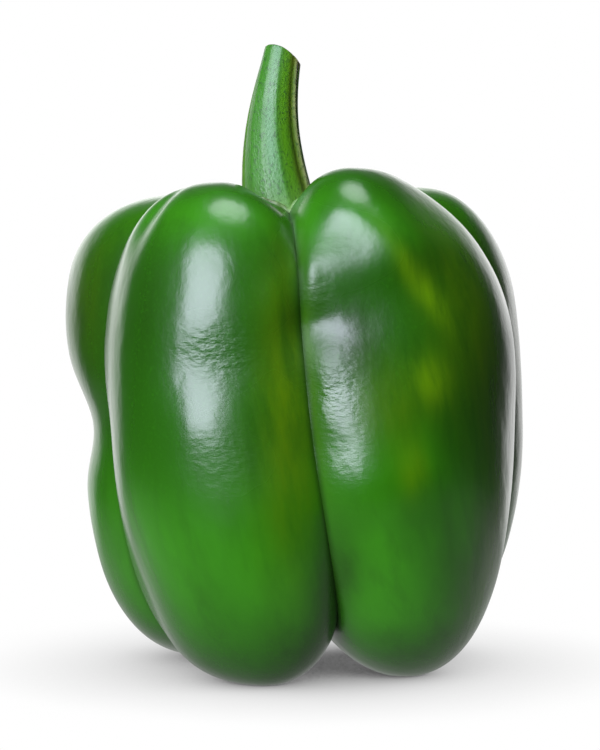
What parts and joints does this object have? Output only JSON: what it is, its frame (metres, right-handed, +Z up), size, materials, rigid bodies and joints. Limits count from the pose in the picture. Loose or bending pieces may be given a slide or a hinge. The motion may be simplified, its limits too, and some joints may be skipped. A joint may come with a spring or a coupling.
{
  "type": "bell pepper",
  "caption": "Large green bell pepper standing upright on its blunt lobes, with deep grooves between them and a ribbed, slant-cut stem rising from the top cavity.",
  "frame": {"origin": "on the resting surface, under the middle of the pepper's box", "axes": "+Z up along the fruit and its stem; -Y is the front, with the groove between the two wide front lobes; +X is to the viewer's right"},
  "size_m": [0.0928, 0.0854, 0.1245],
  "materials": {
    "skin": "smooth waxy fruit skin, glossy",
    "stem": "fibrous plant stem with a soft sheen"
  },
  "bodies": {
    "root": {"fruit": "skin", "stem": "stem"}
  },
  "joints": []
}
